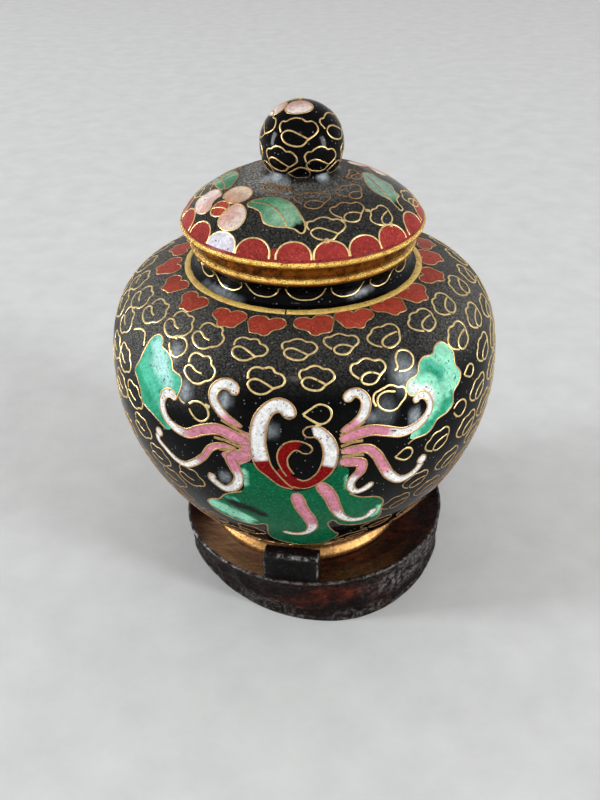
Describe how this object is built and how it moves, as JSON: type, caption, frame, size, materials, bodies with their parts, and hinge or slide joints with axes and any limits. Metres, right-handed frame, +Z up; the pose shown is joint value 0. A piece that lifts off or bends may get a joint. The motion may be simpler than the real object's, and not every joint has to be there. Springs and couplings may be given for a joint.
{
  "type": "lidded jar",
  "caption": "Small round-bellied cloisonne jar with a domed lid and ball knob, black enamel with gilt-wire clouds and a lotus, on a carved dark wooden stand.",
  "frame": {"origin": "on the jar's axis, on the surface that the stand rests on", "axes": "+Z up along the jar's axis, +X to the right and -Y towards the viewer, with the lotus on the -Y side"},
  "size_m": [0.0776, 0.0776, 0.0999],
  "materials": {
    "black_enamel": "polished black vitreous enamel on copper, finely speckled",
    "colour_enamel": "polished coloured vitreous enamel between gilt wires, finely pitted",
    "inner_enamel": "plain glossy enamel on the inside",
    "gilt": "worn gilding on copper",
    "dark_wood": "dark lacquered hardwood, gouge-cut on the side"
  },
  "bodies": {
    "root": {"pot": "black_enamel", "lid": "black_enamel", "stand": "dark_wood"}
  },
  "joints": []
}
